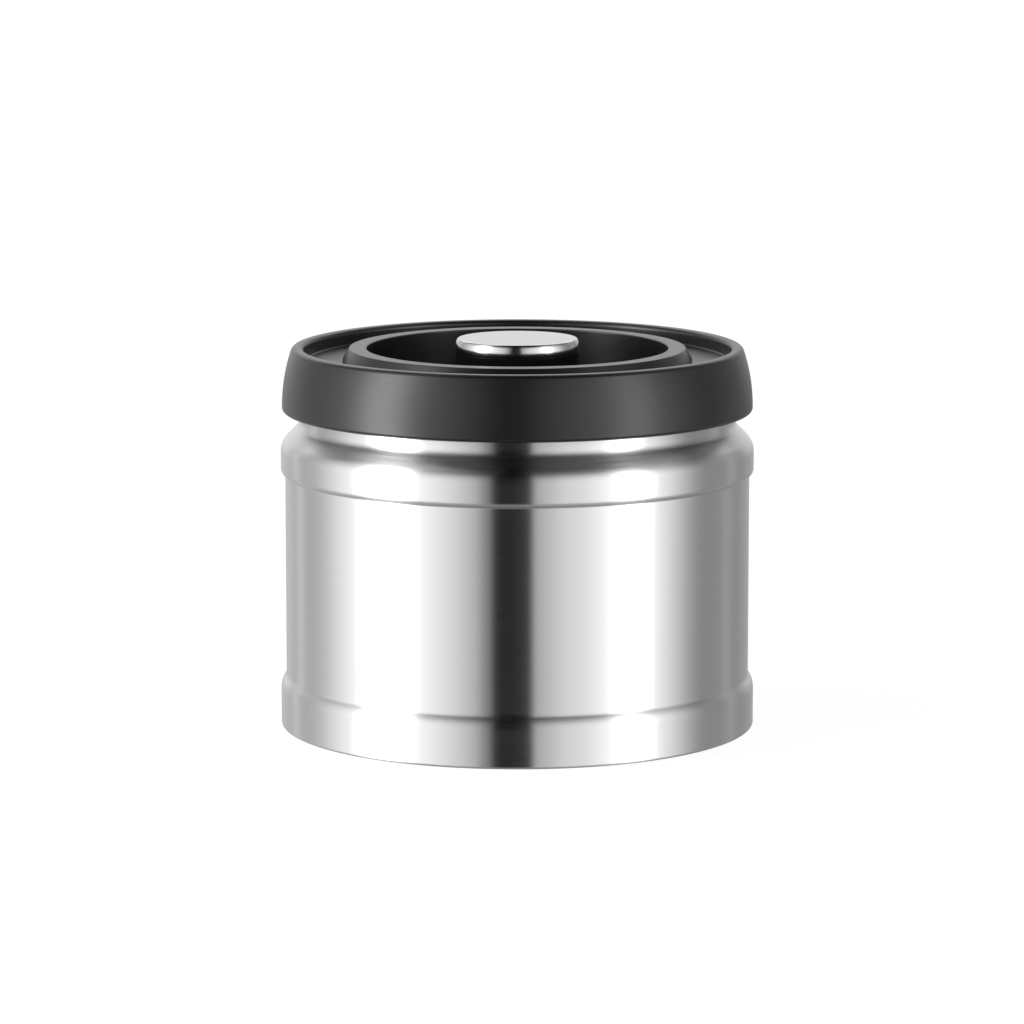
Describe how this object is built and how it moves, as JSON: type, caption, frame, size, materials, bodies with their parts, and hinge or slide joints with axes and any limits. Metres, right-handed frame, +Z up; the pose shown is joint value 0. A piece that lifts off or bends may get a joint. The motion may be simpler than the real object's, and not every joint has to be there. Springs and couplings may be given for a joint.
{
  "type": "vacuum canister",
  "caption": "Low round vacuum food canister: brushed steel body and a black push-on lid, with a sprung pump button in a finger well that draws the air out",
  "frame": {"origin": "centre of the foot ring, on the table", "axes": "+Z up along the axis of the body and the pump; +Y towards the back, where the release valve is"},
  "size_m": [0.1212, 0.1212, 0.0994],
  "materials": {
    "brushed_steel": "stainless sheet, fine brushing round the body",
    "satin_black": "satin moulded polypropylene",
    "gloss_black": "gloss moulded ABS",
    "polished_cap": "polished, bright plated",
    "matte_black": "fine matt moulded polypropylene",
    "natural_plastic": "natural moulded polypropylene",
    "clear_silicone": "milky food grade silicone",
    "grey_silicone": "grey silicone",
    "black_rubber": "black nitrile rubber",
    "screw_steel": "plain stainless screws",
    "spring_wire": "drawn stainless wire",
    "filter_felt": "thin white felt"
  },
  "bodies": {
    "canister": {"body_shell": "brushed_steel", "base_disc": "brushed_steel"},
    "lid": {"lid_shell": "satin_black", "grip_ring": "satin_black", "underside_cover": "matte_black", "main_gasket": "clear_silicone", "cover_screws": "screw_steel", "pump_cylinder": "natural_plastic", "cylinder_seal": "black_rubber", "cylinder_screws": "screw_steel", "inlet_valve": "clear_silicone", "inlet_filter": "filter_felt", "inlet_guard": "matte_black", "return_spring": "spring_wire"},
    "button": {"button_cap": "polished_cap", "button_body": "gloss_black", "piston": "natural_plastic", "piston_seal": "black_rubber", "outlet_valve": "clear_silicone", "piston_screws": "screw_steel"},
    "release": {"release_valve": "grey_silicone"}
  },
  "joints": [
    {"name": "lid_lift", "type": "slide", "parent": "canister", "child": "lid", "axis": [0, 0, 1], "range_m": [0, 0.05]},
    {"name": "button_press", "type": "slide", "parent": "lid", "child": "button", "axis": [0, 0, -1], "range_m": [0, 0.009], "stiffness_N_per_m": 230, "springref_m": -0.0157, "deforming": ["return_spring"]},
    {"name": "release_lift", "type": "slide", "parent": "lid", "child": "release", "axis": [0, 0, 1], "range_m": [0, 0.003]}
  ]
}
